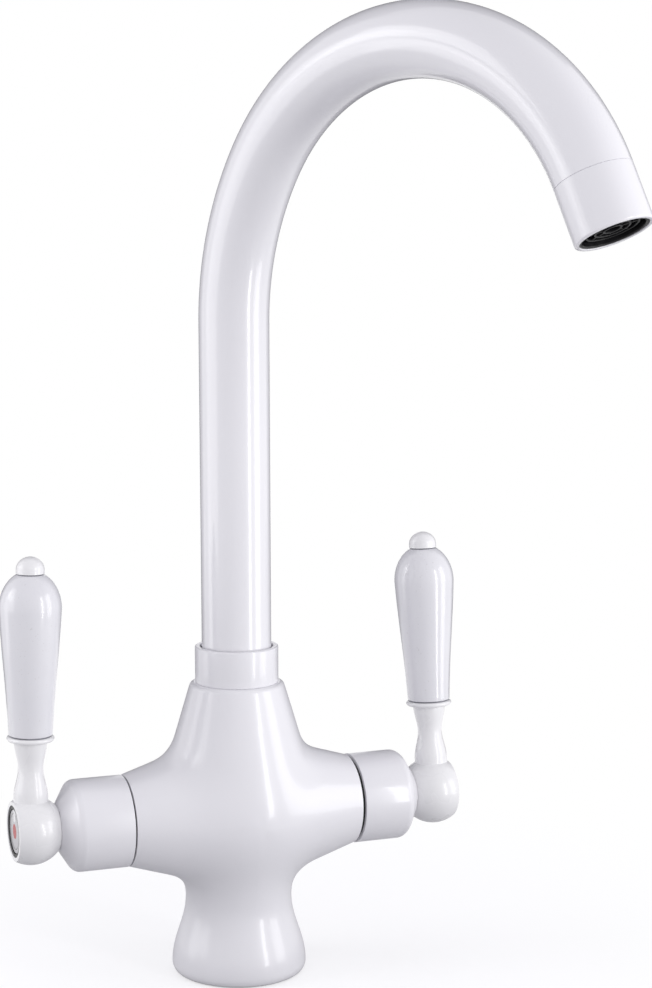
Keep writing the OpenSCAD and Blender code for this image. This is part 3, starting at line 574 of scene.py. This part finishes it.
# %% Covers and their rings
arm_reach, arm_r = 47.7, 18.35
cover_gap = {hot: 0.7, cold: 1.5}
shoulder, cover_end, hub_start = 69.9, 75.9, 75.98
hub_seat_r = math.sqrt(ball_r**2 - (ball_x - hub_start) ** 2)
cover_hole_r, cover_bore_r, cover_bore_end = 7.55, arm_r - 2.2, cover_end - 8.0
ring_in_r, ring_out_r = 13.9, arm_r - 1.5


def on_arm(side):
    turn = Matrix.Rotation(math.radians(90 * side), 4, "Y")
    return Matrix.Translation((0, 0, arm_height * mm)) @ turn


for side, name in sides:
    cover_start = arm_reach + cover_gap[side]
    cover_outline = [
        (cover_bore_r, cover_start), (arm_r, cover_start), (arm_r, shoulder),
        (hub_seat_r, cover_end), (cover_hole_r, cover_end), (cover_hole_r, cover_bore_end),
        (cover_bore_r, cover_bore_end),
    ]
    shell = spun_outline(cover_outline, {1: 0.2, 2: 2.0, 3: 0.3}, True, 128)
    finished(
        f"{name}_cover_shell", shell, on_arm(side), enamel, "tap_body",
        [f"{name}_valve_cover"],
    )
    ring_outline = [
        (ring_in_r, arm_reach), (ring_out_r, arm_reach), (ring_out_r, cover_start),
        (ring_in_r, cover_start),
    ]
    ring = spun_outline(ring_outline, {1: 0.3, 2: 0.3}, True, 96)
    finished(
        f"{name}_cover_o_ring", ring, on_arm(side), rubber, "tap_body",
        [f"{name}_cover_ring"],
    )

# %% [markdown]
# ## Lever hubs
# A hub is a ball cut flat on its outer face, with a stem turned in one piece with it. The ball is
# turned about the arm, and the stem about the lever, so no single spin makes both. They are made as
# two closed meshes, and a Boolean modifier welds them into one skin. Both stems tilt a little
# towards the spout, and the cold lever was left leaning back.

# %% Lever hubs
face_r = math.sqrt(ball_r**2 - (face_x - ball_x) ** 2)
pocket_r, pocket_floor = face_r - 1.5, face_x - 2.4
stem_low_r, stem_waist_r, stem_high_r = 6.8, 5.0, 6.6
stem_root, stem_waist, stem_top = 4.0, 25.0, 36.1
flange_r, flange_t, flange_round = 9.4, 1.9, 0.9
lever_lean, stem_tilt = {hot: 0.0, cold: -3.5}, 1.1


def on_lever(side):
    lean = Matrix.Rotation(math.radians(lever_lean[side]), 4, "X")
    tilt = Matrix.Rotation(math.radians(-side * stem_tilt), 4, "Y")
    return Matrix.Translation((side * ball_x * mm, 0, arm_height * mm)) @ lean @ tilt


def shares(steps):
    """Evenly spaced numbers from 0 to 1."""
    return [number / steps for number in range(steps + 1)]


def ball_outline():
    """Half of the ball's outline from the cover to the flat face, then into the disc's pocket."""
    start = math.acos(-(ball_x - hub_start) / ball_r)
    stop = math.asin(face_r / ball_r)
    turns = [start + (stop - start) * share for share in shares(32)]
    curve = [(ball_r * math.sin(turn), ball_x + ball_r * math.cos(turn)) for turn in turns]
    pocket = [(pocket_r, face_x), (pocket_r, pocket_floor), (0, pocket_floor)]
    return [(0, hub_start)] + curve + pocket


def eased(start, stop):
    """A line from start to stop, each (radius, height), whose radius eases in and out."""
    line = []
    for share in shares(16):
        ease = (1 - math.cos(math.pi * share)) / 2
        line.append((
            start[0] + (stop[0] - start[0]) * ease, start[1] + (stop[1] - start[1]) * share
        ))
    return line


def stem_outline():
    """The stem narrows to its waist and widens again, and ends in a flange."""
    waist = (stem_waist_r, stem_waist)
    line = eased((stem_low_r, ball_r), waist) + eased(waist, (stem_high_r, stem_top))[1:]
    flange = [(flange_r, stem_top), (flange_r, stem_top + flange_t), (0, stem_top + flange_t)]
    return [(0, stem_root), (stem_low_r, stem_root)] + line + flange


def welded(base, tool):
    """A bmesh of two objects joined by a Boolean modifier. Both objects are used up."""
    join = base.modifiers.new("weld", "BOOLEAN")
    join.operation = "UNION"
    join.solver = "EXACT"
    join.object = tool
    evaluated = base.evaluated_get(bpy.context.evaluated_depsgraph_get())
    bm = bmesh.new()
    bm.from_mesh(bpy.data.meshes.new_from_object(evaluated))
    bpy.data.objects.remove(base)
    bpy.data.objects.remove(tool)
    return bm


for side, name in sides:
    outline = stem_outline()
    rounds = {len(outline) - 3: flange_round, len(outline) - 2: flange_round}
    stem = placed_object("stem", spun_outline(outline, rounds, False, 96), on_lever(side))
    ball = placed_object("ball", spun_outline(ball_outline(), {}, False, 96), on_arm(side))
    finished(
        f"{name}_hub_turning", welded(ball, stem), upright, lever_enamel, f"{name}_lever",
        [f"{name}_lever_hub"],
    )

# %% [markdown]
# ## Index discs
# A silver disc in a black ring closes each hub and hides the lever's screw. A small dot of colour
# tells hot from cold. The disc is turned, so its finish gets the same fine rings as the other
# metals, and the dot is a mask of the distance from the disc's middle. A flat picture could carry
# the dot as well, but a mask stays sharp however near the camera comes.

# %% Index discs
bezel_in_r, bezel_out_r, bezel_face = pocket_r - 1.5, pocket_r - 0.05, face_x - 0.25
plate_r, plate_face = pocket_r - 1.55, face_x - 0.5
dot_edge = (2.9 * mm, 3.0 * mm)
groove_inside, groove_outside = (6.7 * mm, 6.9 * mm), (7.1 * mm, 7.3 * mm)
dot_colours = {hot: colour(0.42, 0.005, 0.01), cold: colour(0.02, 0.09, 0.45)}
# Radians of the rings' sine for each metre, so that a ring comes every 0.35 mm
disc_ring_rate = 18000


def index_finish(name, side):
    finish = Finish(bpy.data.materials.new(name))
    radius = finish.from_axis(across_arms, (side * face_x * mm, 0, arm_height * mm))
    rings = finish.maths("SINE", radius * disc_ring_rate)
    wander = finish.noise(700, detail=3)
    is_dot = 1 - finish.band(radius, *dot_edge)
    groove = finish.band(radius, *groove_inside) * (1 - finish.band(radius, *groove_outside))
    silver = finish.mix(wander, colour(0.50, 0.49, 0.52), colour(0.60, 0.59, 0.62))
    # The dark grey in the groove is painted shade in the recess, laid over the groove that the bump
    # cuts.
    silver_with_groove_shade = finish.mix(groove, silver, colour(0.2, 0.2, 0.2))
    return finish.surface(
        Base_Color=finish.mix(is_dot, silver_with_groove_shade, dot_colours[side]),
        Metallic=1 - is_dot,
        Roughness=wander * 0.1 + 0.24,
        Normal=finish.bump(rings * 0.3 + is_dot * 3 - groove * 4, 0.01 * mm, 0.5),
    )


for side, name in sides:
    bezel = [
        (bezel_in_r, pocket_floor), (bezel_out_r, pocket_floor), (bezel_out_r, bezel_face),
        (bezel_in_r, bezel_face),
    ]
    finished(
        f"{name}_index_bezel", spun_outline(bezel, {2: 0.2, 3: 0.2}, True, 96), on_arm(side),
        aerator_black, f"{name}_lever", [f"{name}_index_ring"],
    )
    plate = [(0, pocket_floor), (plate_r, pocket_floor), (plate_r, plate_face), (0, plate_face)]
    finished(
        f"{name}_index_plate", spun_outline(plate, {2: 0.3}, False, 96), on_arm(side),
        index_finish(f"{name}_index_silver", side), f"{name}_lever",
        [f"{name}_index_disc"],
    )

# %% [markdown]
# ## Grips, gaskets and finials
# A porcelain grip swells towards the top and closes in a dome. Thin black gaskets keep it off the
# metal, and a domed finial clamps it on its rod. The grip's line could be drawn through widths
# measured one by one. A formula for the swell and part of an ellipse for the dome need fewer
# numbers, and leave no bumps in the glaze.

# %% Grips and finials
gasket_t, gasket_inset, rod_hole_r = 0.5, 0.5, 3.5
grip_low, grip_swell, grip_dome = stem_top + flange_t + gasket_t, 50.0, 15.0
grip_low_r, grip_r = 8.7, 12.3
finial_r, finial_wall, finial_dome = 5.6, 1.4, 5.1


def grip_line():
    """A taper that swells towards the top, then part of an ellipse in to the finial's width."""
    line = []
    for share in shares(24):
        swell = math.sin(math.pi / 2 * share) * (0.35 + 0.65 * share)
        line.append((grip_low_r + (grip_r - grip_low_r) * swell, grip_low + grip_swell * share))
    end = math.acos(finial_r / grip_r)
    for share in shares(24)[1:]:
        dome = grip_dome * math.sin(end * share)
        line.append((grip_r * math.cos(end * share), grip_low + grip_swell + dome))
    return line


def finial_outline(low):
    dome = [
        (finial_r * math.cos(turn), low + finial_wall + finial_dome * math.sin(turn))
        for turn in (math.pi / 2 * share for share in shares(16))
    ]
    return [(0, low), (finial_r, low)] + dome


grip_high = grip_line()[-1][1]
gasket_places = ((grip_low_r, grip_low - gasket_t), (finial_r, grip_high))
for side, name in sides:
    grip = [(rod_hole_r, grip_low)] + grip_line() + [(rod_hole_r, grip_high)]
    finished(
        f"{name}_grip_body", spun_outline(grip, {1: 0.4}, True, 128), on_lever(side), glaze,
        f"{name}_lever", [f"{name}_lever_grip"],
    )
    gaskets = bmesh.new()
    for seat_r, low in gasket_places:
        r, high = seat_r - gasket_inset, low + gasket_t
        gasket = [(rod_hole_r, low), (r, low), (r, high), (rod_hole_r, high)]
        add_part(gaskets, spun_outline(gasket, {}, True, 96))
    finished(
        f"{name}_grip_gaskets", gaskets, on_lever(side), gasket_black,
        f"{name}_lever", [f"{name}_grip_washers"],
    )
    finial = spun_outline(finial_outline(grip_high + gasket_t), {}, False, 96)
    finished(
        f"{name}_finial_cap", finial, on_lever(side), lever_enamel,
        f"{name}_lever", [f"{name}_finial"],
    )

# %% [markdown]
# ## The cast body
# The casting is the one piece that no lathe can make: four limbs flow into each other. Its CAD skin
# has the right shape in flat facets, as loose triangles. A copy is merged and its triangles are
# paired into quads, so that Subdivision Surface can round them. Edges sharper than 35 degrees are
# creased to stay crisp. Metaballs or a sculpted blob would flow as well, but would miss the
# measured sizes.

# %% Cast body
crisp_degrees = 35


def casting_skin():
    bm = bmesh.new()
    bm.from_mesh(frame["nodes"]["body_casting"].data)
    bmesh.ops.remove_doubles(bm, verts=bm.verts, dist=0.002 * mm)
    bmesh.ops.dissolve_degenerate(bm, edges=bm.edges, dist=0.001 * mm)
    bmesh.ops.join_triangles(
        bm, faces=bm.faces, angle_face_threshold=math.radians(30),
        angle_shape_threshold=math.radians(60),
    )
    crease = bm.edges.layers.float.new("crease_edge")
    for edge in bm.edges:
        if edge.is_manifold and edge.calc_face_angle() > math.radians(crisp_degrees):
            edge[crease] = 1.0
    return bm


casting = finished(
    "casting_skin", casting_skin(), upright, enamel, "tap_body", ["body_casting"],
    sharp=crisp_degrees,
)
rounding = casting.modifiers.new("rounding", "SUBSURF")
rounding.levels = rounding.render_levels = 2
print("quads in the casting:", sum(len(f.vertices) == 4 for f in casting.data.polygons))

# %% [markdown]
# ## The studio floor
# The tap stands on a pale round table. Near the tap it is lit paint, so it keeps the tap's soft
# shadow. Further out its colour, as the camera and the gloss see it, runs over into the white
# background, so no edge shows. The table is small, because tall lamps reach down past it, and the
# riser of the tap would otherwise mirror a dark floor in its lower half.

# %% Floor
table_r, fade_start, fade_end = 0.5, 0.07, 0.3
pure_white = {"Color": colour(1, 1, 1), "Strength": 1.0}


def floor_paint():
    finish = Finish(bpy.data.materials.new("floor_paint"))
    cloud = finish.band(finish.noise(3), 0.3, 0.7)
    paint = finish.mix(cloud, colour(0.50, 0.50, 0.51), colour(0.52, 0.52, 0.53))
    plain = finish.node("ShaderNodeBsdfDiffuse", {}, {"Color": paint})
    glow = finish.node("ShaderNodeEmission", {}, {"Color": colour(1, 1, 1), "Strength": 0.55})
    lifted = finish.node("ShaderNodeAddShader", {}, {0: plain, 1: glow})
    camera_ray = finish.node("ShaderNodeLightPath", output="Is Camera Ray")
    near = finish.node("ShaderNodeMixShader", {}, {0: camera_ray, 1: plain, 2: lifted})
    far = finish.node("ShaderNodeEmission", {}, pure_white)
    far_share = finish.band(finish.from_axis((1, 1, 0)), fade_start, fade_end) * finish.seen()
    both = finish.node("ShaderNodeMixShader", {}, {0: far_share, 1: near, 2: far})
    finish.node("ShaderNodeOutputMaterial", {}, {"Surface": both})
    return finish.owner


def studio_floor():
    bm = bmesh.new()
    bmesh.ops.create_circle(bm, cap_ends=True, radius=table_r, segments=96)
    floor = placed_object("studio_floor", bm, upright)
    floor.data.materials.append(floor_paint())
    return floor


print("floor of", round(studio_floor().dimensions.x, 1), "m")

# %% [markdown]
# ## Light
# Gloss paint shows its lights as bands, so a round tube wants tall lamps beside it. A narrow tall
# strip to the right of the camera draws the brightest line down each tube, and a wider one beyond
# it fills that side. A strip on the left draws the weaker line near the other edge, with a soft box
# above it and a small weak one close by. Bearings are counted from the camera to the right, in
# degrees, and heights as degrees above the middle of the tap.

# %% Lamps
camera_bearing = math.atan2(camera.location.y, camera.location.x)
lamp_aim = Vector((0, 0, 0.17))


def round_the_tap(bearing, height, distance):
    turn, rise = camera_bearing + math.radians(bearing), math.radians(height)
    level = math.cos(rise)
    way = Vector((math.cos(turn) * level, math.sin(turn) * level, math.sin(rise)))
    return lamp_aim + distance * way


def facing_tap(place, axis):
    turn = (lamp_aim - place).to_track_quat(axis, "Y").to_matrix().to_4x4()
    return Matrix.Translation(place) @ turn


def soft_box(name, bearing, height, distance, size, power):
    light = bpy.data.lights.new(name, "AREA")
    light.shape = "RECTANGLE"
    light.size, light.size_y = size
    light.energy = power
    lamp = bpy.data.objects.new(name, light)
    scene.collection.objects.link(lamp)
    lamp.matrix_world = facing_tap(round_the_tap(bearing, height, distance), "-Z")
    lamp.visible_camera = False
    return lamp


lamps = [
    soft_box("key_strip", bearing=48, height=5, distance=1.5, size=(0.18, 1.2), power=6.2),
    soft_box("right_strip", bearing=77, height=5, distance=1.5, size=(0.55, 1.2), power=6.6),
    soft_box("left_strip", bearing=-92, height=5, distance=1.5, size=(0.52, 1.2), power=3.2),
    soft_box("left_box", bearing=-80, height=25, distance=1.5, size=(0.62, 0.62), power=2.8),
    soft_box("left_small_box", bearing=-70, height=5, distance=0.6, size=(0.25, 0.3), power=0.38),
]
print("lamps:", [lamp.name for lamp in lamps])

# %% [markdown]
# ## Dark cards
# White gloss before a white background has bright rims that melt into it. Photographers stand dark
# cards behind such a thing, just outside the picture: the rims show the cards and turn grey. Each
# card here is one square of a grid. Only the gloss sees it, so it stays out of every view, and it
# casts no shadow.

# %% Cards
card_distance = 0.9


def dark_card(name, bearing, height, size):
    bm = bmesh.new()
    bmesh.ops.create_grid(bm, x_segments=1, y_segments=1, size=0.5)
    bmesh.ops.scale(bm, verts=bm.verts, vec=(size[0], size[1], 1))
    card = placed_object(name, bm, facing_tap(round_the_tap(bearing, height, card_distance), "Z"))
    finish = Finish(bpy.data.materials.new(name))
    felt = finish.mix(finish.noise(40), colour(0.03, 0.03, 0.035), colour(0.05, 0.05, 0.055))
    plain = finish.node("ShaderNodeBsdfDiffuse", {}, {"Color": felt})
    finish.node("ShaderNodeOutputMaterial", {}, {"Surface": plain})
    card.data.materials.append(finish.owner)
    card.visible_camera = card.visible_diffuse = card.visible_shadow = False
    card.visible_transmission = False
    return card


cards = [
    dark_card("left_card", bearing=-152, height=8, size=(0.75, 1.3)),
    dark_card("right_card", bearing=152, height=8, size=(0.75, 1.3)),
    dark_card("top_card", bearing=180, height=48, size=(1.2, 0.8)),
]
print("cards:", [card.name for card in cards])

# %% [markdown]
# ## The world
# The world fills in all round with a weak lavender light. The camera and the gloss see it as white,
# so the picture has a white background with no more light on the tap.

# %% World and view
scene.world = bpy.data.worlds.new("studio_world")
sky = Finish(scene.world)
fill_sockets = {"Color": colour(0.955, 0.945, 1.0), "Strength": 0.71}
fill = sky.node("ShaderNodeBackground", {}, fill_sockets)
white = sky.node("ShaderNodeBackground", {}, pure_white)
either = sky.node("ShaderNodeMixShader", {}, {0: sky.seen(), 1: fill, 2: white})
sky.node("ShaderNodeOutputWorld", {}, {"Surface": either})
scene.view_settings.view_transform = "Standard"
print("world fill", fill_sockets["Strength"])
